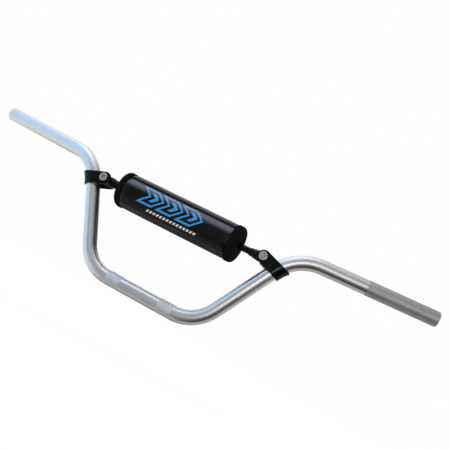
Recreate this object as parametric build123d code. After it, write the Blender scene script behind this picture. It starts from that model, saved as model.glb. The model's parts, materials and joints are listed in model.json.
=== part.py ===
# Motocross handlebar: a bent aluminium tube, a crossbar clamped between its legs and a foam pad on it.
# Millimetres. The origin is the centre of the straight middle section. +X is the rider's left,
# +Y points back to the rider and +Z is up. The middle section and both legs lie in the XZ plane.
import os
from math import atan2, cos, degrees, radians, sin

from build123d import *

# Handlebar tube: virtual corners of the centreline and the bend radii
tube_diameter = 22.2
tube_wall = 3.0
foot_x = 93.5  # lower corner, half the spacing
shoulder_x = 179.5  # upper corner
shoulder_z = 154.0
grip_end_x = 388.0  # centre of the open end
grip_sweep = 48.0
grip_end_z = 168.5
foot_bend = 62.0
shoulder_bend = 72.0
tube_end_chamfer = 0.8

# Clamp straps: a U section cut off askew, so that its ears point nearer to level than square to the leg
clamp_along_leg = 140.0  # from the lower corner to the middle of the strap
clamp_skew = 10.0  # degrees
strap_thickness = 2.8
strap_width = 20.0
strap_fit = 0.1  # round the tube
ear_reach = 23.5  # leg axis to bolt axis
strap_edge = 0.5

# Clamp bolts, washers and lock nuts, M8
bolt_diameter = 8.0
bolt_length = 40.0
bolt_head_diameter = 13.0
bolt_head_height = 5.0
bolt_head_edge = 0.8
socket_flats = 5.0
socket_depth = 3.0
bolt_tip = 1.0
bolt_hole_fit = 0.2  # all round, in ears, barrels and washers
thread_fit = 0.05
washer_diameter = 16.0
washer_thickness = 1.6
nut_flats = 13.0
nut_height = 8.0
nut_hex_height = 6.2
nut_chamfer = 0.7
nut_collar_wall = 0.9  # round the ring
nut_collar_edge = 0.7
nut_ring_height = 2.0

# Crossbar: a rod set into two forged ends, each a barrel for the bolt with a flared neck
rod_diameter = 10.0
rod_chamfer = 0.8
barrel_diameter = 17.0
barrel_edge = 0.7
neck_length = 24.0  # bolt axis to the mouth of the neck
neck_mouth_wall = 1.0
neck_root_diameter = 16.0
neck_root_reach = 6.8  # bolt axis to where the flare ends
neck_mouth_edge = 0.4
rod_set_depth = 13.0
rod_set_fit = 0.02

# Pad: a slit foam core with two bare ends and a cover wrapped round its waist
pad_gap_left = 17.6  # from the neck's mouth to the pad's end, on the rider's left
pad_gap_right = 5.6
pad_end_diameter = 57.0
pad_end_rounding = 7.5
bare_end_length = 13.0
cover_diameter = 55.0
cover_thickness = 0.8
cover_fit = 0.1
foam_on_rod = 0.3
slit_angle = 9.0  # degrees forward of the top
slit_width = 0.8
slit_mouth_width = 6.4
slit_mouth_depth = 3.4

# Closure of the cover: the outer flap ends in front of the top and the panel dips in under it
flap_edge_angle = 43.0  # degrees forward of the top
dip_start_angle = 78.0
tail_angle = 12.0  # behind the top, end of the hidden panel edge
foam_return_angle = 36.0  # behind the top, where the core is round again
tape_thickness = 0.9
tape_gap = 0.05
tape_setback = 4.0  # degrees from both edges of the overlap
tape_end_margin = 3.0

tube_radius = tube_diameter / 2
leg_angle = degrees(atan2(shoulder_z, shoulder_x - foot_x))
leg_direction = Vector(cos(radians(leg_angle)), 0, sin(radians(leg_angle)))
clamp_centre = Vector(foot_x, 0, 0) + leg_direction * clamp_along_leg
ear_rise = 90 - leg_angle - clamp_skew
ear_direction = Vector(-cos(radians(ear_rise)), 0, sin(radians(ear_rise)))
bolt_centre = clamp_centre + ear_direction * ear_reach
strap_inner_radius = tube_radius + strap_fit
strap_outer_radius = strap_inner_radius + strap_thickness
crossbar_z = bolt_centre.Z
neck_mouth_x = bolt_centre.X - neck_length
bolt_axis = Plane(origin=bolt_centre, x_dir=(1, 0, 0), z_dir=(0, -1, 0))  # local Z runs to the front
hole_radius = bolt_diameter / 2 + bolt_hole_fit
nut_collar_radius = nut_flats / 2 - nut_chamfer


def handlebar_tube():
    corners = [
        (-grip_end_x, grip_sweep, grip_end_z),
        (-shoulder_x, 0, shoulder_z),
        (-foot_x, 0, 0),
        (foot_x, 0, 0),
        (shoulder_x, 0, shoulder_z),
        (grip_end_x, grip_sweep, grip_end_z),
    ]
    path = FilletPolyline(*corners, radius=[shoulder_bend, foot_bend, foot_bend, shoulder_bend])
    section = Circle(tube_radius) - Circle(tube_radius - tube_wall)
    tube = sweep(Plane(path @ 0, z_dir=path % 0) * section, path=path)
    open_ends = tube.faces().sort_by(Axis.X)
    rims = [
        face.edges().sort_by(lambda edge: edge.length)[-1] for face in (open_ends[0], open_ends[-1])
    ]
    return chamfer(rims, tube_end_chamfer)


def leg_sleeve(radius):
    # A round bar on the tube's centreline, up the leg and over the upper bend
    corners = [(foot_x, 0, 0), (shoulder_x, 0, shoulder_z), (grip_end_x, grip_sweep, grip_end_z)]
    path = FilletPolyline(*corners, radius=shoulder_bend)
    return sweep(Plane(path @ 0, z_dir=path % 0) * Circle(radius), path=path)


def bolt_hole():
    return bolt_axis * Cylinder(hole_radius, 2 * bolt_length)


def clamp_strap():
    # The bight follows the tube, the ears are flat, and one skewed outline cuts both
    reach = ear_reach + strap_width
    across = Plane(origin=clamp_centre, x_dir=(-leg_direction.Z, 0, leg_direction.X), z_dir=leg_direction)
    beside = Plane(origin=clamp_centre, x_dir=ear_direction, z_dir=(0, 1, 0))

    def ears(radius):
        return extrude(across * Pos(reach / 2, 0) * Rectangle(reach, 2 * radius), amount=reach, both=True)

    band_length = ear_reach + reach
    outline = Pos(ear_reach - band_length / 2, 0) * Rectangle(band_length, strap_width)
    outline += Pos(ear_reach, 0) * Circle(strap_width / 2)
    strap = extrude(beside * outline, amount=2 * strap_outer_radius, both=True)
    strap &= leg_sleeve(strap_outer_radius) + ears(strap_outer_radius)
    strap = strap - leg_sleeve(strap_inner_radius) - ears(strap_inner_radius)
    strap = fillet([edge for edge in strap.edges() if on_outer_rim(edge, across, beside)], strap_edge)
    return strap - bolt_hole()


def on_outer_rim(edge, across, beside):
    # Whether an edge of the strap bounds its outer face, on the flat of an ear or round the bight,
    # which leaves out the lines across the band where the flats meet the bight
    middle = edge.position_at(0.5)
    round_leg = across.to_local_coords(middle)
    in_band = beside.to_local_coords(middle)
    on_flat = abs(abs(middle.Y) - strap_outer_radius) < strap_fit
    from_leg = (round_leg.X**2 + round_leg.Y**2) ** 0.5
    on_bight = round_leg.X < 0 and from_leg > strap_inner_radius + strap_thickness / 2
    return (on_flat or on_bight) and (abs(in_band.Y) > strap_width / 4 or in_band.X > ear_reach)


def clamp_bolt():
    head = Pos(0, 0, strap_outer_radius) * Cylinder(
        bolt_head_diameter / 2, bolt_head_height, align=(Align.CENTER, Align.CENTER, Align.MIN)
    )
    head = fillet(head.edges().sort_by(Axis.Z)[-1], bolt_head_edge)
    head_top = strap_outer_radius + bolt_head_height
    socket = extrude(RegularPolygon(socket_flats / 2, 6, major_radius=False), amount=-socket_depth)
    shank = Pos(0, 0, strap_outer_radius) * Cylinder(
        bolt_diameter / 2, bolt_length, align=(Align.CENTER, Align.CENTER, Align.MAX)
    )
    shank = chamfer(shank.edges().sort_by(Axis.Z)[0], bolt_tip)
    return bolt_axis * (head + shank - Pos(0, 0, head_top) * socket)


def clamp_washer():
    ring = Circle(washer_diameter / 2) - Circle(hole_radius)
    return bolt_axis * Pos(0, 0, -strap_outer_radius) * extrude(ring, amount=-washer_thickness)


def lock_nut():
    corner_radius = nut_flats / 2 / cos(radians(30))
    hexagon = extrude(RegularPolygon(nut_flats / 2, 6, major_radius=False), amount=-nut_hex_height)
    blank = Cylinder(corner_radius, nut_hex_height, align=(Align.CENTER, Align.CENTER, Align.MAX))
    blank = chamfer(blank.edges().filter_by(GeomType.CIRCLE), nut_chamfer)
    collar = Cylinder(nut_collar_radius, nut_height, align=(Align.CENTER, Align.CENTER, Align.MAX))
    collar = fillet(collar.edges().sort_by(Axis.Z)[0], nut_collar_edge)
    bore = Cylinder(bolt_diameter / 2 + thread_fit, 2 * bolt_length)
    ring_seat = Pos(0, 0, -nut_height) * Cylinder(
        nut_collar_radius - nut_collar_wall, nut_ring_height, align=(Align.CENTER, Align.CENTER, Align.MIN)
    )
    return nut_seat() * ((hexagon & blank) + collar - ring_seat - bore)


def lock_nut_ring():
    section = Circle(nut_collar_radius - nut_collar_wall) - Circle(bolt_diameter / 2 + thread_fit)
    ring = Pos(0, 0, -nut_height + nut_ring_height) * extrude(section, amount=-nut_ring_height)
    return nut_seat() * ring


def nut_seat():
    return bolt_axis * Pos(0, 0, -strap_outer_radius - washer_thickness)


def crossbar_rod():
    set_end = neck_mouth_x + rod_set_depth
    rod = Pos(0, 0, crossbar_z) * Rot(0, 90, 0) * Cylinder(rod_diameter / 2, 2 * set_end)
    return chamfer(rod.edges().filter_by(GeomType.CIRCLE), rod_chamfer)


def crossbar_end():
    barrel = Cylinder(barrel_diameter / 2, 2 * strap_inner_radius)
    barrel = chamfer(barrel.edges().filter_by(GeomType.CIRCLE), barrel_edge)
    mouth_radius = rod_diameter / 2 + neck_mouth_wall
    mouth = Vector(-neck_length, mouth_radius)
    root = Vector(-neck_root_reach, neck_root_diameter / 2)
    flare = Spline(mouth, root, tangents=[(1, 0), (1, 0)])
    sides = Polyline(root, (0, neck_root_diameter / 2), (0, 0), (-neck_length, 0), mouth)
    neck = revolve(Plane.XZ * make_face(flare + sides), Axis.X)
    neck = fillet(neck.edges().filter_by(GeomType.CIRCLE).sort_by(Axis.X)[0], neck_mouth_edge)
    socket = Pos(-neck_length, 0, 0) * Rot(0, 90, 0) * Cylinder(
        rod_diameter / 2 + rod_set_fit, rod_set_depth, align=(Align.CENTER, Align.CENTER, Align.MIN)
    )
    place = Pos(bolt_centre.X, 0, bolt_centre.Z)
    end = place * (Rot(90, 0, 0) * barrel + neck - socket)
    return end - bolt_hole()


# The pad fills the room between the two necks, apart from its gaps. Its sections are drawn in a plane
# across the crossbar whose X is forward and whose Y is up.
pad_length = 2 * neck_mouth_x - pad_gap_left - pad_gap_right
pad_offset = (pad_gap_right - pad_gap_left) / 2
pad_section = Plane(origin=(pad_offset, 0, crossbar_z), x_dir=(0, -1, 0), z_dir=(-1, 0, 0))
cover_length = pad_length - 2 * bare_end_length
skin_radius = cover_diameter / 2 - cover_thickness / 2
tail_radius = skin_radius - cover_thickness - 2 * tape_thickness - 3 * tape_gap


def at(radius, forward):
    # A point of the section, by its angle forward of the top
    return Vector(radius * sin(radians(forward)), radius * cos(radians(forward)))


def along(forward, turn=1):
    # The direction of a circle about the axis there, backwards over the top when turn is 1
    return Vector(-turn * cos(radians(forward)), turn * sin(radians(forward)))


def arc(radius, start, middle, end):
    return ThreePointArc(at(radius, start), at(radius, middle), at(radius, end))


def ring_sector(inner, outer, start, end):
    middle = (start + end) / 2
    sides = arc(inner, start, middle, end) + arc(outer, start, middle, end)
    sides += Line(at(inner, start), at(outer, start)) + Line(at(inner, end), at(outer, end))
    return make_face(sides)


def slide(section, length):
    return pad_section * extrude(section, amount=length / 2, both=True)


def pad_cover():
    skin = arc(skin_radius, flap_edge_angle, flap_edge_angle - 180, dip_start_angle - 360)
    dip = Spline(
        at(skin_radius, dip_start_angle),
        at(tail_radius, flap_edge_angle),
        tangents=[along(dip_start_angle), along(flap_edge_angle)],
    )
    tail = arc(tail_radius, flap_edge_angle, 0, -tail_angle)
    sheet = trace(skin + dip + tail, line_width=cover_thickness)
    return slide(sheet, cover_length)


def closure_tape(layer):
    # Layer 0 is the hook tape on the panel and layer 1 the loop tape under the flap
    inner = tail_radius + cover_thickness / 2 + tape_gap + layer * (tape_thickness + tape_gap)
    start = flap_edge_angle - tape_setback
    end = tape_setback - tail_angle
    section = ring_sector(inner, inner + tape_thickness, start, end)
    return slide(section, cover_length - 2 * tape_end_margin)


def pad_foam():
    waist_radius = skin_radius - cover_thickness / 2 - cover_fit
    seat_radius = tail_radius - cover_thickness / 2 - cover_fit
    round_side = arc(waist_radius, -foam_return_angle, -180, dip_start_angle - 360)
    dip = Spline(
        at(waist_radius, dip_start_angle),
        at(seat_radius, flap_edge_angle),
        tangents=[along(dip_start_angle), along(flap_edge_angle)],
    )
    seat = arc(seat_radius, flap_edge_angle, 0, -tail_angle)
    rise = Spline(
        at(seat_radius, -tail_angle),
        at(waist_radius, -foam_return_angle),
        tangents=[along(-tail_angle), along(-foam_return_angle)],
    )
    waist = extrude(make_face(round_side + dip + seat + rise), amount=cover_length / 2, both=True)
    end = Cylinder(
        pad_end_diameter / 2, bare_end_length, align=(Align.CENTER, Align.CENTER, Align.MIN)
    )
    end = fillet(end.edges().filter_by(GeomType.CIRCLE).sort_by(Axis.Z)[-1], pad_end_rounding)
    end -= slit_mouth()
    core = waist + Pos(0, 0, cover_length / 2) * end + mirror(Pos(0, 0, cover_length / 2) * end, Plane.XY)
    core -= Cylinder(rod_diameter / 2 + foam_on_rod, 2 * pad_length)
    slit = Rot(0, 0, -slit_angle) * Pos(0, pad_end_diameter / 2) * Box(
        slit_width, pad_end_diameter, 2 * pad_length
    )
    return pad_section * (core - slit)


def slit_mouth():
    # A vee along the slit in a bare end, with the arris at the surface
    surface = pad_end_diameter / 2
    above = surface + slit_mouth_depth
    vee = Polyline(
        (0, surface - slit_mouth_depth), (slit_mouth_width, above), (-slit_mouth_width, above), close=True
    )
    return Rot(0, 0, -slit_angle) * extrude(make_face(vee), amount=bare_end_length)


def both_sides(name, piece):
    return {f"left_{name}": piece, f"right_{name}": mirror(piece, Plane.YZ)}


pieces = {
    "handlebar_tube": handlebar_tube(),
    **both_sides("clamp", clamp_strap()),
    **both_sides("clamp_bolt", clamp_bolt()),
    **both_sides("clamp_washer", clamp_washer()),
    **both_sides("lock_nut", lock_nut()),
    **both_sides("lock_nut_ring", lock_nut_ring()),
    **both_sides("crossbar_end", crossbar_end()),
    "crossbar_rod": crossbar_rod(),
    "pad_foam": pad_foam(),
    "pad_cover": pad_cover(),
    "cover_hook_tape": closure_tape(0),
    "cover_loop_tape": closure_tape(1),
}

os.makedirs("parts", exist_ok=True)
for name, piece in pieces.items():
    piece.label = name
    export_step(piece, f"parts/{name}.step")
    print(f"{name}: {piece.volume:.0f} mm3")
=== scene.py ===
import json
import math

import bmesh
import bpy
import numpy as np
from mathutils import Matrix, Vector


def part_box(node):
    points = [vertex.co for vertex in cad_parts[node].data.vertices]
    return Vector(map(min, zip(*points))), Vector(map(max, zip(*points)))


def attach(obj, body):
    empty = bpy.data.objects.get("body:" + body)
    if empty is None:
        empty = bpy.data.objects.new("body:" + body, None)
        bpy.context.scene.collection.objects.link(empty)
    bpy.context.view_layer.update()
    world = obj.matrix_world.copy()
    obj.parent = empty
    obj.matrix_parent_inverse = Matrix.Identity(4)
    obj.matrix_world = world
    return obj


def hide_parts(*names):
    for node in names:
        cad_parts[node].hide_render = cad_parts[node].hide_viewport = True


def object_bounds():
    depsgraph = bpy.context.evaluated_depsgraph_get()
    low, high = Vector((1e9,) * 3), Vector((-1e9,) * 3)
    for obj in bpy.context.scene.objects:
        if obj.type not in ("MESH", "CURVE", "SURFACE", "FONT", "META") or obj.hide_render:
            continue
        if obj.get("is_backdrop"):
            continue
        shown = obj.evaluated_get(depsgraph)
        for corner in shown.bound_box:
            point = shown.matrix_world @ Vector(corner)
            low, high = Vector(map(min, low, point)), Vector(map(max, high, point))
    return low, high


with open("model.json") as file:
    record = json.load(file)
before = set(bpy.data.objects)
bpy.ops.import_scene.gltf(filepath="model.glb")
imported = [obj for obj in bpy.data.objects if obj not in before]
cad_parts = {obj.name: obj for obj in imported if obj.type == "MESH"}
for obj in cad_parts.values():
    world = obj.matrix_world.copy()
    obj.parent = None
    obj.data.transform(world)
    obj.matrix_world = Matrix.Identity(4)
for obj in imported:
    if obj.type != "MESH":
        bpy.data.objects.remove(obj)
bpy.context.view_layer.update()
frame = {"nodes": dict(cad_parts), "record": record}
print("frame loaded")


# camera: below the crossbar's height in front of the bar, turned about its own axis
camera = {
    "place": (0.33728, -0.89026, -0.0051),
    "azimuth": -17.128,
    "elevation": 9.361,
    "roll": 28.953,
    "lens": 51.35,
    "sensor": 36,
    "nearest": 0.01,
}


def makeCamera():
    # forward from azimuth and elevation, then right and up turned by the roll about it
    azimuth, elevation, roll = (math.radians(camera[k]) for k in ("azimuth", "elevation", "roll"))
    forward = Vector((math.sin(azimuth) * math.cos(elevation), math.cos(azimuth) * math.cos(elevation),
                      math.sin(elevation)))
    level = forward.cross(Vector((0, 0, 1))).normalized()
    upright = level.cross(forward)
    right = math.cos(roll) * level + math.sin(roll) * upright
    up = math.cos(roll) * upright - math.sin(roll) * level
    data = bpy.data.cameras.new("photoCamera")
    data.lens = camera["lens"]
    data.sensor_width = camera["sensor"]
    data.clip_start = camera["nearest"]
    obj = bpy.data.objects.new("photoCamera", data)
    bpy.context.scene.collection.objects.link(obj)
    axes = Matrix((right, up, -forward)).transposed().to_4x4()
    obj.matrix_world = Matrix.Translation(camera["place"]) @ axes
    bpy.context.scene.camera = obj


makeCamera()
print("camera placed")


class Value:
    # one output socket, so that sums and products of sockets write themselves as Math nodes
    def __init__(self, shader, socket):
        self.shader, self.socket = shader, socket

    def math(self, operation, *others):
        return self.shader.maths(operation, self, *others)

    def __add__(self, other):
        return self.math("ADD", other)

    def __sub__(self, other):
        return self.math("SUBTRACT", other)

    def __rsub__(self, other):
        return self.shader.maths("SUBTRACT", other, self)

    def __mul__(self, other):
        return self.math("MULTIPLY", other)

    def __truediv__(self, other):
        return self.math("DIVIDE", other)

    def __rtruediv__(self, other):
        return self.shader.maths("DIVIDE", other, self)

    def __lt__(self, other):
        return self.math("LESS_THAN", other)

    __radd__ = __add__
    __rmul__ = __mul__

    def size(self):
        return self.math("ABSOLUTE")

    def lower(self, other):
        return self.math("MINIMUM", other)

    def higher(self, other):
        return self.math("MAXIMUM", other)

    def repeat(self):
        return self.math("FRACT")

    def between(self, low, high, soft):
        # 1 inside low..high and 0 outside, changing over a width of soft about each end
        middle, half = (low + high) / 2, (high - low) / 2
        inside = (half - (self - middle).size()) / soft + 0.5
        return inside.higher(0.0).lower(1.0)


class Shader:
    # the nodes of a new material, or of a new world
    def __init__(self, name, world=False):
        self.world = world
        self.owner = (bpy.data.worlds if world else bpy.data.materials).new(name)
        self.owner.use_nodes = True
        self.tree = self.owner.node_tree
        self.tree.nodes.clear()

    def node(self, kind, settings=None, inputs=(), output=0):
        # adds one node: settings first, then its inputs by place or by name, as values or links
        made = self.tree.nodes.new(kind)
        for key, value in (settings or {}).items():
            setattr(made, key, value)
        pairs = inputs.items() if isinstance(inputs, dict) else enumerate(inputs)
        for key, value in pairs:
            if isinstance(value, Value):
                self.tree.links.new(value.socket, made.inputs[key])
            else:
                made.inputs[key].default_value = value
        return Value(self, made.outputs[output])

    def maths(self, operation, *terms):
        return self.node("ShaderNodeMath", {"operation": operation}, terms)

    def objectPoint(self):
        return self.node("ShaderNodeTexCoord", output=3)  # its fourth output is Object

    def split(self, vector):
        parts = self.node("ShaderNodeSeparateXYZ", {}, [vector]).socket.node
        return [Value(self, parts.outputs[i]) for i in range(3)]

    def noise(self, vector, scale, detail, stretch=(1, 1, 1)):
        stretched = self.node("ShaderNodeVectorMath", {"operation": "MULTIPLY"}, [vector, stretch])
        inputs = {"Vector": stretched, "Scale": scale, "Detail": detail}
        return self.node("ShaderNodeTexNoise", {}, inputs)

    def blend(self, share, low, high):
        # low where share is 0 and high where it is 1; inputs 6 and 7 are the Mix node's two colours
        return self.node("ShaderNodeMix", {"data_type": "RGBA"}, {0: share, 6: low, 7: high}, output=2)

    def bump(self, height, distance, strength):
        inputs = {"Height": height, "Distance": distance, "Strength": strength}
        return self.node("ShaderNodeBump", {}, inputs)

    def finish(self, inputs):
        return self.close(self.node("ShaderNodeBsdfPrincipled", {}, inputs))

    def close(self, surface):
        kind = "ShaderNodeOutputWorld" if self.world else "ShaderNodeOutputMaterial"
        output = self.tree.nodes.new(kind)
        self.tree.links.new(surface.socket, output.inputs[0])
        return self.owner


def grey(level, tint=(1, 1, 1)):
    return (level * tint[0], level * tint[1], level * tint[2], 1)


def gridMesh(name, points, closeAround=False, closeEnds=False, smooth=True):
    # points is rows x columns x 3; each cell of the grid becomes one quad, and a closed way meets
    # its own start
    rows, columns = points.shape[:2]
    index = np.arange(rows * columns).reshape(rows, columns)
    if closeAround:
        index = np.concatenate([index, index[:, :1]], axis=1)
    if closeEnds:
        index = np.concatenate([index, index[:1]], axis=0)
    corners = [index[:-1, :-1], index[:-1, 1:], index[1:, 1:], index[1:, :-1]]
    quads = np.stack(corners, axis=-1).reshape(-1, 4)
    mesh = bpy.data.meshes.new(name)
    mesh.from_pydata(points.reshape(-1, 3).tolist(), [], quads.tolist())
    mesh.polygons.foreach_set("use_smooth", np.full(len(mesh.polygons), smooth))
    obj = bpy.data.objects.new(name, mesh)
    bpy.context.scene.collection.objects.link(obj)
    return obj


def cleanMesh(obj, distance=1e-7):
    # merges the doubles and turns every face outwards
    work = bmesh.new()
    work.from_mesh(obj.data)
    bmesh.ops.remove_doubles(work, verts=work.verts, dist=distance)
    bmesh.ops.dissolve_degenerate(work, dist=distance / 10, edges=work.edges)
    bmesh.ops.recalc_face_normals(work, faces=work.faces)
    work.to_mesh(obj.data)
    work.free()


def joined(target, others):
    # puts the meshes of the others into the target's and removes them
    work = bmesh.new()
    for obj in (target, *others):
        work.from_mesh(obj.data)
    work.to_mesh(target.data)
    work.free()
    for obj in others:
        bpy.data.objects.remove(obj)


def smoothStep(value):
    # three times the square less twice the cube, from 0 to 1
    clipped = np.clip(value, 0, 1)
    return clipped * clipped * (3 - 2 * clipped)


# the bar: satin aluminium, knurled where the clamp and the left grip sit
bar = {
    "radius": 0.0111,
    "bands": ((-0.0570, -0.0330), (0.0340, 0.0580)),  # from and to, along the middle section
    "bandSteps": (110, 384),  # rings along it and spokes round it
    "gripEnd": (0.388, 0.048, 0.1685),
    "gripAlong": (0.972279, 0.223834, 0.067617),
    "gripKnurl": 0.108,  # length, up to the open end
    "gripSteps": (388, 252),
    "endChamfer": 0.0010,
    "knurlPitch": 0.0011,
    "knurlHeight": 0.00016,
    "knurlBase": 0.00002,  # the valleys, out from the bar
    "edgeSunk": 0.00006,  # both ends of a sleeve, into the bar
    "edgeFade": 0.4,  # of a pitch
    "sleeveDepth": 0.0004,
    "drawnScale": 1400.0, "drawnRough": 0.03, "drawnDepth": 0.000006, "drawnStrength": 0.03,
    "cloudScale": 22.0, "cloudRough": 0.05,
}


def aluminium(name, low=0.68, high=0.76, roughest=0.28, tint=(1, 1, 1), along=1.0):
    # low and high bound the metal's colour, and along below 1 draws its clouds out along the bar
    shader = Shader(name)
    point = shader.objectPoint()
    drawn = shader.noise(point, bar["drawnScale"], detail=2.0)
    cloud = shader.noise(point, bar["cloudScale"] / along, detail=3.0, stretch=(along, 1, 1))
    base = shader.blend(cloud, grey(low, tint), grey(high))
    roughness = cloud * bar["cloudRough"] + drawn * bar["drawnRough"] + roughest
    return shader.finish({"Base Color": base, "Metallic": 1.0, "Roughness": roughness,
                          "Normal": shader.bump(drawn, bar["drawnDepth"], bar["drawnStrength"])})


def knurlSleeve(name, start, along, length, steps):
    # a thin closed sleeve whose height is the product of two crossing waves, a diamond knurl, and whose
    # first and last rings lie inside the bar's wall
    rings, spokes = steps
    along = np.array(Vector(along).normalized())
    aside = np.cross(along, (0, 0, 1.0))
    aside /= np.linalg.norm(aside)
    above = np.cross(aside, along)
    turns = round(2 * math.pi * bar["radius"] / bar["knurlPitch"])
    travel = np.linspace(0, length, rings)[:, None]
    travel = np.concatenate([travel[:1], travel, travel[-1:]])
    angle = np.linspace(0, 2 * math.pi, spokes, endpoint=False)[None, :]
    wave = 2 * math.pi * travel / bar["knurlPitch"]
    ridges = np.abs(np.sin((turns * angle + wave) / 2)) * np.abs(np.sin((turns * angle - wave) / 2))
    inside = smoothStep(np.minimum(travel, length - travel) / (bar["edgeFade"] * bar["knurlPitch"]))
    height = bar["knurlBase"] + bar["knurlHeight"] * ridges
    radius = bar["radius"] - bar["edgeSunk"] * (1 - inside) + inside * height
    radius[[0, -1]] = bar["radius"] - bar["sleeveDepth"]
    points = (np.array(start) + travel[..., None] * along
              + (radius * np.cos(angle))[..., None] * aside + (radius * np.sin(angle))[..., None] * above)
    return gridMesh(name, points, closeAround=True, closeEnds=True)


def addKnurls(clampFinish, gripFinish):
    pieces = []
    for number, (start, end) in enumerate(bar["bands"]):
        name = f"clamp_knurl_{number + 1}"
        pieces.append(knurlSleeve(name, (start, 0, 0), (1, 0, 0), end - start, bar["bandSteps"]))
    along = Vector(bar["gripAlong"])
    start = Vector(bar["gripEnd"]) - along * bar["gripKnurl"]
    length = bar["gripKnurl"] - bar["endChamfer"]
    pieces.append(knurlSleeve("left_grip_knurl", start, along, length, bar["gripSteps"]))
    for piece in pieces:
        piece.data.materials.append(gripFinish if piece.name == "left_grip_knurl" else clampFinish)
        cleanMesh(piece)
        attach(piece, "root")


# black coat on clamps, rod and crossbar ends: an orange peel with a little dust
coat = {
    "base": 0.002, "dusty": 1.9, "dustScale": 60.0,
    "roughness": 0.05, "peelRough": 0.05, "specular": 0.16,
    "peelScale": 420.0, "peelDepth": 0.00005, "peelStrength": 0.12,
}


def blackCoat():
    shader = Shader("blackCoat")
    point = shader.objectPoint()
    peel = shader.noise(point, coat["peelScale"], detail=2.0)
    dust = shader.noise(point, coat["dustScale"], detail=4.0)
    base = shader.blend(dust, grey(coat["base"]), grey(coat["base"] * coat["dusty"]))
    return shader.finish({"Base Color": base, "Roughness": peel * coat["peelRough"] + coat["roughness"],
                          "Specular IOR Level": coat["specular"],
                          "Normal": shader.bump(peel, coat["peelDepth"], coat["peelStrength"])})


# zinc-plated fasteners: fine grain, with paler and yellower patches
zinc = {
    "base": 0.44, "paler": 1.3, "yellow": (1, 0.99, 0.94), "pale": (1, 1, 0.98), "patchScale": 150.0,
    "roughness": 0.2, "grainRough": 0.14,
    "grainScale": 800.0, "grainDepth": 0.00003, "grainStrength": 0.4,
}


def zincSteel():
    shader = Shader("zincSteel")
    point = shader.objectPoint()
    grain = shader.noise(point, zinc["grainScale"], detail=2.0)
    patch = shader.noise(point, zinc["patchScale"], detail=3.0)
    yellow, pale = grey(zinc["base"], zinc["yellow"]), grey(zinc["base"] * zinc["paler"], zinc["pale"])
    return shader.finish({"Base Color": shader.blend(patch, yellow, pale), "Metallic": 1.0,
                          "Roughness": grain * zinc["grainRough"] + zinc["roughness"],
                          "Normal": shader.bump(grain, zinc["grainDepth"], zinc["grainStrength"])})


# the white rings in the lock nuts
ring = {"dark": 0.62, "light": 0.78, "speckScale": 500.0, "roughness": 0.45, "speckRough": 0.1}


def nylon():
    shader = Shader("nylon")
    speck = shader.noise(shader.objectPoint(), ring["speckScale"], detail=2.0)
    base = shader.blend(speck, grey(ring["dark"]), grey(ring["light"]))
    return shader.finish({"Base Color": base, "Roughness": speck * ring["speckRough"] + ring["roughness"]})


# the thread that stands out of each lock nut
thread = {
    "radius": 0.0040, "proud": 0.00012, "pitch": 0.00125, "core": 0.0034,
    "start": 0.0238, "end": 0.0249, "steps": (40, 72),
}


def boltThread(name, centre):
    # a helical ridge on a cylinder, sharp at the crest, fading out at the tip and closed inside the bolt
    rings, spokes = thread["steps"]
    travel = np.linspace(thread["start"], thread["end"], rings)[:, None]
    travel = np.concatenate([travel[:1], travel, travel[-1:]])
    angle = np.linspace(0, 2 * math.pi, spokes, endpoint=False)[None, :]
    phase = (travel / thread["pitch"] - angle / (2 * math.pi)) % 1.0
    ridge = 1 - np.abs(2 * phase - 1)
    fade = smoothStep((thread["end"] - travel) / (thread["pitch"] / 2))
    radius = thread["radius"] + thread["proud"] * (2 * ridge * fade - 1 + fade) / 2
    radius[[0, -1]] = thread["core"]
    points = np.stack(np.broadcast_arrays(centre[0] + radius * np.cos(angle), travel,
                                          centre[2] + radius * np.sin(angle)), axis=-1)
    return gridMesh(name, points, closeAround=True, closeEnds=True)


# the pad's core: sizes follow the CAD pad, angles are degrees forward of the top
padLow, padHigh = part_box("pad_foam")
pad = {
    "offset": (padLow.x + padHigh.x) / 2,
    "length": padHigh.x - padLow.x,
    "endRadius": 0.0285,
    "rounding": 0.0075,
    "bareEnd": 0.013,
    "stepRounding": 0.0012,
    "boreRadius": 0.0053,
    "waistRadius": 0.0266,
    "seatRadius": 0.02385,  # where the closure lies
    "flapEdge": 43.0,
    "dipStart": 78.0,
    "tail": 12.0,  # behind the top, as the next is
    "foamReturn": 36.0,
    "slitAngle": 9.0,
    "slitWidth": 0.0008,
    "mouthHalf": 0.0032,
    "mouthDepth": 0.0034,
    "mouthCurve": 1.5,
    "mouthFade": 0.002,  # along the pad, past the bare end
    "lump": 0.00012,
    "lumpFull": 0.02,  # the radius at which the lumps have their full height
    "lumpWaves": ((5, 90, 0), (3, -170, 1.3)),  # waves round, radians a metre along, and a shift
    "faceSteps": 12, "turnSteps": 14, "bareSteps": 6, "waistSteps": 23, "aroundSteps": 241, "wallSteps": 9,
    "merge": 2e-6,
}
rodLow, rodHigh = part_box("crossbar_rod")
crossbarHeight = (rodLow.z + rodHigh.z) / 2


def padPoint(x, radius, forward):
    # cylindrical place round the crossbar: forward turns from straight up towards the front
    return np.stack(np.broadcast_arrays(pad["offset"] + x, -radius * np.sin(forward),
                                        crossbarHeight + radius * np.cos(forward)), axis=-1)


def foamWaist(forward):
    # the waist's radius round the core: round, but lower where the closure lies
    degrees = (np.degrees(forward) + 180) % 360 - 180
    front = smoothStep((pad["dipStart"] - degrees) / (pad["dipStart"] - pad["flapEdge"]))
    back = smoothStep((degrees + pad["foamReturn"]) / (pad["foamReturn"] - pad["tail"]))
    return pad["waistRadius"] - (pad["waistRadius"] - pad["seatRadius"]) * front * back


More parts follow.
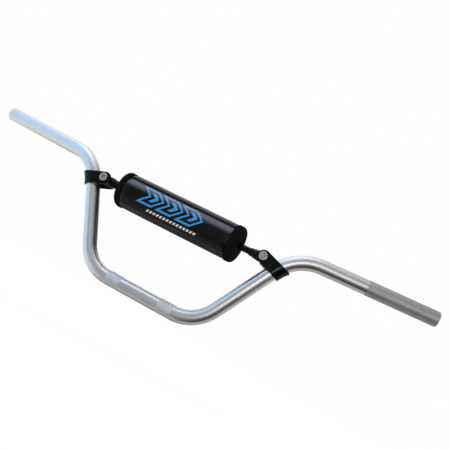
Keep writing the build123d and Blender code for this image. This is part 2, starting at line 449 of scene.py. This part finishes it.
def foamOutline():
    # x, radius and the share of the waist's radius, from end to end: end face, rounded rim, bare end,
    # rounded step and waist, then the same mirrored
    half, rounding, top = pad["length"] / 2, pad["rounding"], pad["endRadius"]
    edge, stepRounding = half - pad["bareEnd"], pad["stepRounding"]
    turn = np.linspace(0, math.pi / 2, pad["turnSteps"])[1:]
    parts = [
        (half, np.linspace(pad["boreRadius"], top - rounding, pad["faceSteps"]), 0),
        (half - rounding + rounding * np.cos(turn), top - rounding + rounding * np.sin(turn), 0),
        (np.linspace(half - rounding, edge + stepRounding, pad["bareSteps"] + 1)[1:], top, 0),
        (edge + stepRounding * (1 - np.sin(turn)), top, 1 - np.cos(turn)),
        (np.linspace(edge, 0, pad["waistSteps"] + 1)[1:], top, 1),
    ]
    rightHalf = np.concatenate([np.stack(np.broadcast_arrays(*part), axis=-1) for part in parts])
    return np.concatenate([rightHalf, rightHalf[-2::-1] * (-1, 1, 1)])


def slitWall(name, edge):
    # ruled from the outline's edge at the slit to the bore's edge, a straight line from end to end
    line = edge[0] + (edge[-1] - edge[0]) * np.linspace(0, 1, len(edge))[:, None]
    share = np.linspace(0, 1, pad["wallSteps"])[None, :, None]
    return gridMesh(name, edge[:, None, :] * (1 - share) + line[:, None, :] * share)


def padFoam():
    # the outline turned about the rod from one wall of the slit to the other, with two crossing waves of
    # lumps, the slit opening into a notch at the bare ends
    x, plainRadius, sunk = (column[:, None] for column in foamOutline().T)
    around = np.linspace(0, 1, pad["aroundSteps"])[None, :]
    slit = math.radians(pad["slitAngle"])
    radius = plainRadius * (1 - sunk) + foamWaist(slit + 2 * math.pi * around) * sunk
    bare = smoothStep((np.abs(x) - (pad["length"] / 2 - pad["bareEnd"])) / pad["mouthFade"])
    depthShare = np.clip((radius - pad["endRadius"] + pad["mouthDepth"]) / pad["mouthDepth"], 0, 1)
    opening = pad["slitWidth"] / 2 + bare * pad["mouthHalf"] * depthShare ** pad["mouthCurve"]
    side = np.arcsin(opening / radius)
    angle = slit + side + (2 * math.pi - 2 * side) * around
    waves = sum(np.sin(turns * angle + slant * x + shift) for turns, slant, shift in pad["lumpWaves"])
    lump = pad["lump"] * waves * np.clip(radius / pad["lumpFull"], 0, 1) * (1 - sunk)
    outer = padPoint(x, radius + lump, angle)
    # the bore is ruled from mouth to mouth, with as many steps as the outline, so that the walls meet it
    share = np.linspace(0, 1, len(outer))[:, None, None]
    bore = outer[-1] + (outer[0] - outer[-1]) * share
    shell = gridMesh("pad_core", np.concatenate([outer, bore[1:]]))
    joined(shell, [slitWall("wallFront", outer[:, 0]), slitWall("wallBack", outer[:, -1])])
    cleanMesh(shell, pad["merge"])
    return shell


# the cover: a sheet round the waist that dips in under its own flap
cover = {
    "length": pad["length"] - 2 * pad["bareEnd"],
    "flat": (0.1819, 0.1933),  # as cut, along the pad and around it
    "thickness": 0.0008,
    "skinRadius": 0.0271,
    "tailRadius": 0.02435,
    "steps": (72, 420),  # along the pad and round it
    "wave": 0.00010,
    "waveAround": 2, "waveSlant": 34, "waveAlong": 61, "waveShift": 1.2,
    "edgePull": 0.00018,
    "pullFade": 0.0025,
    "flapPress": 0.00085,
    "pressedArc": 3.8,  # degrees of the flap's free edge, past the closure tapes
    "rimRounding": 0.0003,
    "rimSegments": 2,
    "rimAngle": 50,
    "merge": 1e-8,
}

# the cover run as cloth, on a coarse copy
cloth = {
    "steps": (48, 160),
    "frames": 16,
    "pressure": 1500.0,
    "cap": 0.0004,
    "heldColumns": 3,
    "heldTail": 0.22,  # of the way round, under the flap
    "quality": 6,
    "mass": 0.25,
    "tension": 30,
    "shear": 12,
    "bending": 1.5,
}


def coverPoints(rows, columns):
    # one path in angle: skin from the flap edge round the back and under to the front, then the dip and
    # tail, with two crossing waves where it is loose and a slight pull at both ends
    dip = pad["dipStart"] - pad["flapEdge"]
    walked = np.linspace(0, 360 + pad["flapEdge"] + pad["tail"], columns)
    dipped = smoothStep((walked - (360 - dip)) / dip)
    radius = cover["skinRadius"] - (cover["skinRadius"] - cover["tailRadius"]) * dipped
    radius = radius - cover["flapPress"] * smoothStep(1 - walked / cover["pressedArc"])
    x = np.linspace(-cover["length"] / 2, cover["length"] / 2, rows)[:, None]
    forward = np.radians(pad["flapEdge"] - walked)[None, :]
    fromEdge = cover["length"] / 2 - np.abs(x)
    wave = cover["wave"] * np.sin(cover["waveAround"] * forward + cover["waveSlant"] * x)
    wave = wave * np.sin(cover["waveAlong"] * x + cover["waveShift"])
    pull = cover["edgePull"] * np.exp(-fromEdge / cover["pullFade"])
    return padPoint(x, radius[None, :] + (wave - pull) * (1 - dipped[None, :]), forward)


def awayFromRod(points):
    # unit directions square to the rod's axis, outwards
    outward = points - padPoint(points[..., 0] - pad["offset"], 0, 0)
    return outward / np.linalg.norm(outward, axis=-1, keepdims=True)


def coverSwell():
    # a coarse copy of the sheet, run as cloth blown from inside and pinned all round its border: how far
    # each of its points goes out from the rod, within the cap
    rows, columns = cloth["steps"]
    start = coverPoints(rows, columns)[::-1]  # turned end for end, so that its faces look outwards
    coarse = gridMesh("coverCloth", start)
    border = np.zeros((rows, columns), bool)
    border[[0, -1]] = True
    border[:, :cloth["heldColumns"]] = True
    border[:, -int(columns * cloth["heldTail"]):] = True
    pinned = coarse.vertex_groups.new(name="pinned")
    pinned.add(np.flatnonzero(border.ravel()).tolist(), 1.0, "REPLACE")
    settings = coarse.modifiers.new("cloth", "CLOTH").settings
    settings.quality = cloth["quality"]
    settings.mass = cloth["mass"]
    settings.tension_stiffness = settings.compression_stiffness = cloth["tension"]
    settings.shear_stiffness = cloth["shear"]
    settings.bending_stiffness = cloth["bending"]
    settings.vertex_group_mass = "pinned"
    settings.use_pressure = True
    settings.uniform_pressure_force = cloth["pressure"]
    settings.effector_weights.gravity = 0
    for frameNumber in range(1, cloth["frames"] + 1):
        bpy.context.scene.frame_set(frameNumber)
    moved = coarse.evaluated_get(bpy.context.evaluated_depsgraph_get()).data
    end = np.empty(rows * columns * 3)
    moved.vertices.foreach_get("co", end)
    bpy.context.scene.frame_set(1)
    swell = ((end.reshape(start.shape) - start) * awayFromRod(start)).sum(axis=-1)
    bpy.data.objects.remove(coarse)
    print("cloth moved", round(swell.min() * 1000, 3), "to", round(swell.max() * 1000, 3), "mm")
    return np.clip(swell[::-1], 0, cloth["cap"])


def readBetween(coarse, rows, columns):
    # a finer grid of numbers: each is the four coarse ones round it, by how near they are
    down = np.linspace(0, coarse.shape[0] - 1, rows)[:, None]
    across = np.linspace(0, coarse.shape[1] - 1, columns)[None, :]
    i = np.minimum(down.astype(int), coarse.shape[0] - 2)
    j = np.minimum(across.astype(int), coarse.shape[1] - 2)
    u, v = down - i, across - j
    return (coarse[i, j] * (1 - u) * (1 - v) + coarse[i + 1, j] * u * (1 - v)
            + coarse[i, j + 1] * (1 - u) * v + coarse[i + 1, j + 1] * u * v)


def padCover():
    # the fine sheet, moved out by the swell of the coarse one, then given its thickness and soft rims
    points = coverPoints(*cover["steps"])
    swell = readBetween(coverSwell(), *cover["steps"])
    points = points + swell[..., None] * awayFromRod(points)
    sheet = gridMesh("pad_wrap", points)
    cleanMesh(sheet, cover["merge"])
    thick = sheet.modifiers.new("thickness", "SOLIDIFY")
    thick.thickness = cover["thickness"]
    thick.offset = 0
    thick.use_even_offset = True
    rounded = sheet.modifiers.new("rim", "BEVEL")
    rounded.width = cover["rimRounding"]
    rounded.segments = cover["rimSegments"]
    rounded.limit_method = "ANGLE"
    rounded.angle_limit = math.radians(cover["rimAngle"])
    return sheet


# the print on the cover, with reflections painted on it, in metres along the pad and degrees forward of
# the top
printed = {
    "panelStart": pad["flapEdge"] + 0.3, "panelEnd": 143.0, "panelSoft": 0.8,
    # the panel's top, from the flap's edge down to about 75 degrees, is a painted reflection of the sky:
    # violet grey that fades into the black
    "paintedSheenEnd": 75.0, "paintedSheenSoft": 14.0,
    "start": -0.0545, "top": 53.0, "bottom": 115.0,
    "arrowLength": 0.0335, "arrows": 3.0, "arrowLean": 0.50,
    "rim": (0.04, 0.84), "hollow": (0.155, 0.725), "inner": (0.36, 0.56),  # of an arrow's length
    "hollowHalf": 0.385, "innerHalf": 0.25,  # from mid height, of the arrows' height
    "soft": 0.02, "endSoft": 0.03,
    "paintedGlareEnd": 0.4,  # of the arrows' height, where the painted reflection in paler blue has faded out
    "dashAngle": 128.0, "dashHalf": 4.2, "dashRowSoft": 0.4,
    "dashPitch": 0.0058, "dashLean": 0.05, "dash": (0.16, 0.76), "dashSoft": 0.05,
    "dashes": (-2.0, 13.0),  # where the row starts and ends, counted in dashes
    "blue": (0.045, 0.31, 0.66, 1),
    # a paler blue at the arrows' top: a painted reflection of the glare
    "paintedGlareBlue": (0.20, 0.47, 0.78, 1),
    # violet grey for the panel's top: a painted reflection of the sky
    "fade": (0.085, 0.085, 0.115, 1),
    "white": 0.80,
}

# the vinyl itself: black in the printed panel and a little paler past it, with an orange peel
vinyl = {
    "black": (0.0015, 0.003), "plain": (0.012, 0.017), "mottleScale": 45.0,
    "roughness": 0.09, "peelRough": 0.05, "specular": 0.24,
    "peelScale": 260.0, "peelDepth": 0.00004, "peelStrength": 0.2,
}


def arrowMask(x, down):
    # along counts arrows, and the front of each leads at mid height; an arrow is its rim less its hollow,
    # with a solid arrow inside
    fromMiddle = (down - 0.5).size()
    along = (x - printed["start"]) / printed["arrowLength"] + fromMiddle * (printed["arrowLean"] * 2)
    phase, soft = along.repeat(), printed["soft"]
    zone = along.between(0.0, printed["arrows"], printed["endSoft"]) * down.between(0.0, 1.0, soft)
    hollow = phase.between(*printed["hollow"], soft) * fromMiddle.between(-1, printed["hollowHalf"], soft)
    inner = phase.between(*printed["inner"], soft) * fromMiddle.between(-1, printed["innerHalf"], soft)
    return (phase.between(*printed["rim"], soft) - hollow).higher(inner) * zone


def dashMask(x, angle):
    # a row of leaning dashes at one angle round the pad
    row = angle.between(printed["dashAngle"] - printed["dashHalf"],
                        printed["dashAngle"] + printed["dashHalf"], printed["dashRowSoft"])
    count = x / printed["dashPitch"] + angle * printed["dashLean"]
    soft = printed["dashSoft"]
    return count.repeat().between(*printed["dash"], soft) * row * count.between(*printed["dashes"], soft)


def coverVinyl():
    # angle is degrees forward of the top round the rod, and down is 0 to 1 over the arrows' height; the
    # ground is laid first, with a painted reflection in violet grey along the panel's top, then the
    # arrows, whose tops carry a painted reflection in paler blue, then the dashes
    shader = Shader("coverVinyl")
    point = shader.objectPoint()
    x, y, z = shader.split(point)
    angle = (y * -1.0).math("ARCTAN2", z - crossbarHeight) * (180 / math.pi)
    down = (angle - printed["top"]) / (printed["bottom"] - printed["top"])
    mottled = shader.noise(point, vinyl["mottleScale"], detail=3.0)
    black, plain = (shader.blend(mottled, *map(grey, vinyl[kind])) for kind in ("black", "plain"))
    # a painted reflection of the sky: violet grey over the panel's top, fading into the black below
    fade = angle.between(printed["panelStart"], printed["paintedSheenEnd"], printed["paintedSheenSoft"])
    black = shader.blend(fade, black, printed["fade"])
    panel = angle.between(printed["panelStart"], printed["panelEnd"], printed["panelSoft"])
    ground = shader.blend(panel, plain, black)
    # a painted reflection of the glare: the arrows' top in paler blue, fading into the print's blue lower
    # down
    paintedGlareShare = down.higher(0.0).lower(printed["paintedGlareEnd"]) / printed["paintedGlareEnd"]
    blue = shader.blend(paintedGlareShare, printed["paintedGlareBlue"], printed["blue"])
    colour = shader.blend(arrowMask(x, down), ground, blue)
    colour = shader.blend(dashMask(x, angle), colour, grey(printed["white"]))
    peel = shader.noise(point, vinyl["peelScale"], detail=2.0)
    roughness = peel * vinyl["peelRough"] + vinyl["roughness"]
    return shader.finish({"Base Color": colour, "Roughness": roughness,
                          "Specular IOR Level": vinyl["specular"],
                          "Normal": shader.bump(peel, vinyl["peelDepth"], vinyl["peelStrength"])})


# closed-cell foam: fine pores over soft mottling
foam = {
    "dark": 0.004, "light": 0.008, "mottleScale": 120.0,
    "roughness": 0.75, "mottleRough": 0.15, "specular": 0.02,
    "poreScale": 1400.0, "poreDepth": 0.00012, "poreStrength": 0.5,
}


def foamSkin():
    shader = Shader("foamSkin")
    point = shader.objectPoint()
    pores = shader.node("ShaderNodeTexVoronoi", {}, {"Vector": point, "Scale": foam["poreScale"]})
    mottled = shader.noise(point, foam["mottleScale"], detail=4.0)
    base = shader.blend(mottled, grey(foam["dark"]), grey(foam["light"]))
    roughness = mottled * foam["mottleRough"] + foam["roughness"]
    return shader.finish({"Base Color": base, "Roughness": roughness,
                          "Specular IOR Level": foam["specular"],
                          "Normal": shader.bump(pores, foam["poreDepth"], foam["poreStrength"])})


# the hook and loop tapes under the flap
tape = {
    "dark": 0.01, "light": 0.04, "roughness": 0.9,
    "loopScale": 1800.0, "loopDepth": 0.0003, "loopStrength": 0.8,
}


def closureTape():
    shader = Shader("closureTape")
    loops = shader.noise(shader.objectPoint(), tape["loopScale"], detail=3.0)
    base = shader.blend(loops, grey(tape["dark"]), grey(tape["light"]))
    return shader.finish({"Base Color": base, "Roughness": tape["roughness"],
                          "Normal": shader.bump(loops, tape["loopDepth"], tape["loopStrength"])})


finishes = {
    "bar_aluminium": aluminium("barAluminium"),
    "black_coat": blackCoat(),
    "zinc_steel": zincSteel(),
    "nylon": nylon(),
    "foam": foamSkin(),
    "cover_vinyl": coverVinyl(),
    "closure_tape": closureTape(),
}
slotOf = {entry["node"]: entry["material_slot"] for entry in frame["record"]["subparts"]}
for nodeName, node in frame["nodes"].items():
    node.data.materials.clear()
    node.data.materials.append(finishes[slotOf[nodeName]])
print("finishes made")

addKnurls(aluminium("clampKnurl", high=0.82, roughest=0.5),
          aluminium("gripKnurl", low=0.44, high=0.62, roughest=0.5, tint=(1.0, 0.95, 0.93), along=0.12))
print("knurls made")

for side in ("left", "right"):
    low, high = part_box(f"{side}_clamp_bolt")
    ridge = boltThread(f"{side}_bolt_thread", (low + high) / 2)
    ridge.data.materials.append(finishes["zinc_steel"])
    cleanMesh(ridge)
    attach(ridge, "root")
print("threads made")

core = padFoam()
core.data.materials.append(finishes["foam"])
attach(core, "root")
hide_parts("pad_foam")
wrap = padCover()
wrap.data.materials.append(finishes["cover_vinyl"])
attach(wrap, "root")
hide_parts("pad_cover")
print("pad made")


# studio: a pale floor well below, a white surround, three lamps, and cards that only reflections see
studio = {
    "floorHeight": -0.45,
    "floorHalf": 30.0,
    "floorGrey": 0.86,
    "floorRoughness": 0.8,
    "floorGlow": 0.4,  # for the camera alone
    "worldLight": 0.68,
    "worldTint": (0.97, 0.985, 1),
    "domeRadius": 4.0,
    "domeSteps": (49, 25),
    "domeWhite": 0.92,
    "cardSoft": 12.0,  # degrees over which a card's edge fades
}

# azimuth from the front towards +X and elevation, in degrees, then the light; later cards lie on top
cards = [
    ((-180, 180), (-100, -13), (0.54, 0.53, 0.52)),  # ground
    ((-124, -50), (-46, 3), (0.92, 0.93, 0.94)),  # haze, low to the left
    ((-152, -84), (-15, 3), (1.28, 1.27, 1.25)),  # bright line, low to the left
    ((-114, -28), (-16, 48), (0.68, 0.92, 1.22)),  # sky, to the left
    ((-35, -12), (-70, 36), (0.33, 0.33, 0.35)),  # grey, left of the front
    ((-176, -140), (-58, -2), (0.16, 0.16, 0.16)),  # dark, behind and below
    ((-18, 64), (-84, -36), (0.11, 0.105, 0.11)),  # dark ground before the bar
    ((-14, 180), (14, 60), (0.42, 0.42, 0.43)),  # grey wall above the front
    ((50, 170), (17, 57), (0.05, 0.05, 0.05)),  # dark wall to the right
    ((-14, 180), (58, 92), (0.62, 0.62, 0.64)),  # grey, overhead
    ((-14, 34), (-28, 16), (0.34, 0.34, 0.34)),  # front
    ((0, 30), (-16, 12), (1.45, 1.45, 1.47)),  # bright about the camera
    ((27, 88), (-76, -13), (0.022, 0.020, 0.022)),  # darkest, low to the right
    ((-120, 20), (60, 88), (1.25, 1.27, 1.34)),  # bright, overhead
    ((-120, -34), (47, 76), (1.3, 1.4, 1.65)),  # glare, high to the left
]


def makeFloor():
    # one flat square, lit as any surface and a little brighter to the camera
    half, height = studio["floorHalf"], studio["floorHeight"]
    corners = np.array([[(x, y, height) for x in (-half, half)] for y in (-half, half)])
    floor = gridMesh("floor", corners, smooth=False)
    shader = Shader("paleFloor")
    seen = shader.node("ShaderNodeLightPath")  # its first output is Is Camera Ray
    floor.data.materials.append(shader.finish({
        "Base Color": grey(studio["floorGrey"]), "Roughness": studio["floorRoughness"],
        "Emission Color": grey(1.0), "Emission Strength": seen * studio["floorGlow"]}))
    floor.visible_glossy = False  # the ground card stands for it in reflections
    floor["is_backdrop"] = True


def makeDome():
    # a sphere round the bar, seen by reflections alone: white, with each card laid over it with
    # a soft edge
    reach, soft = studio["domeRadius"], studio["cardSoft"]
    around, upwards = studio["domeSteps"]
    turn = np.radians(np.linspace(-180, 180, around))[None, :]
    rise = np.radians(np.linspace(-90, 90, upwards))[:, None]
    directions = (np.sin(turn) * np.cos(rise), -np.cos(turn) * np.cos(rise), np.sin(rise))
    points = reach * np.stack(np.broadcast_arrays(*directions), axis=-1)
    dome = gridMesh("lightDome", points)
    shader = Shader("lightDome")
    x, y, z = shader.split(shader.objectPoint())
    azimuth = x.math("ARCTAN2", y * -1.0) * (180 / math.pi)
    elevation = (z / reach).math("ARCSINE") * (180 / math.pi)
    light = grey(studio["domeWhite"])
    for (left, right), (bottom, top), colour in cards:
        share = elevation.between(bottom, top, soft)
        if right - left < 360:
            wrapped = azimuth + (azimuth < right - 360.0) * 360.0
            share = wrapped.between(left, right, soft) * share
        light = shader.blend(share, light, (*colour, 1))
    glow = shader.node("ShaderNodeEmission", {}, {"Color": light, "Strength": 1.0})
    dome.data.materials.append(shader.close(glow))
    for ray in ("camera", "diffuse", "shadow", "transmission"):
        setattr(dome, f"visible_{ray}", False)
    dome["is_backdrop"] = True


def makeWorld():
    # camera, glossy and transmission rays see white, and all others a dimmer light
    shader = Shader("surround", world=True)
    rays = shader.node("ShaderNodeLightPath").socket.node.outputs
    kinds = ("Camera", "Glossy", "Transmission")
    direct, glossy, through = (Value(shader, rays[f"Is {kind} Ray"]) for kind in kinds)
    dimmer = grey(1.0, studio["worldTint"])
    light = shader.node("ShaderNodeBackground", {}, [dimmer, studio["worldLight"]])
    white = shader.node("ShaderNodeBackground", {}, [grey(1.0)])
    seen = direct.higher(glossy.higher(through))
    bpy.context.scene.world = shader.close(shader.node("ShaderNodeMixShader", {}, [seen, light, white]))


def addLamp(name, place, aim, size, power, reflected):
    data = bpy.data.lights.new(name, "AREA")
    data.shape = "RECTANGLE"
    data.size, data.size_y = size
    data.energy = power
    lamp = bpy.data.objects.new(name, data)
    bpy.context.scene.collection.objects.link(lamp)
    lamp.location = place
    lamp.visible_camera = False
    lamp.visible_glossy = reflected
    lamp.rotation_mode = "QUATERNION"
    lamp.rotation_quaternion = (Vector(aim) - Vector(place)).to_track_quat("-Z", "Y")


# each lamp's place, aim, size, power, and whether reflections see it
lamps = {
    "keyLamp": ((-0.9, -1.05, 2.0), (0, 0, 0.13), (1.4, 1.4), 10, False),
    "fillLamp": ((1.6, -1.0, 0.6), (0, 0, 0.1), (1.0, 1.4), 3, False),
    "frontLamp": ((0.32, -0.90, 0.075), (0, 0, 0.1), (0.06, 0.06), 0.18, True),
}

makeFloor()
makeDome()
makeWorld()
for lampName, lamp in lamps.items():
    addLamp(lampName, *lamp)
bpy.context.scene.view_settings.view_transform = "Standard"
print("studio made")

low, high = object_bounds()
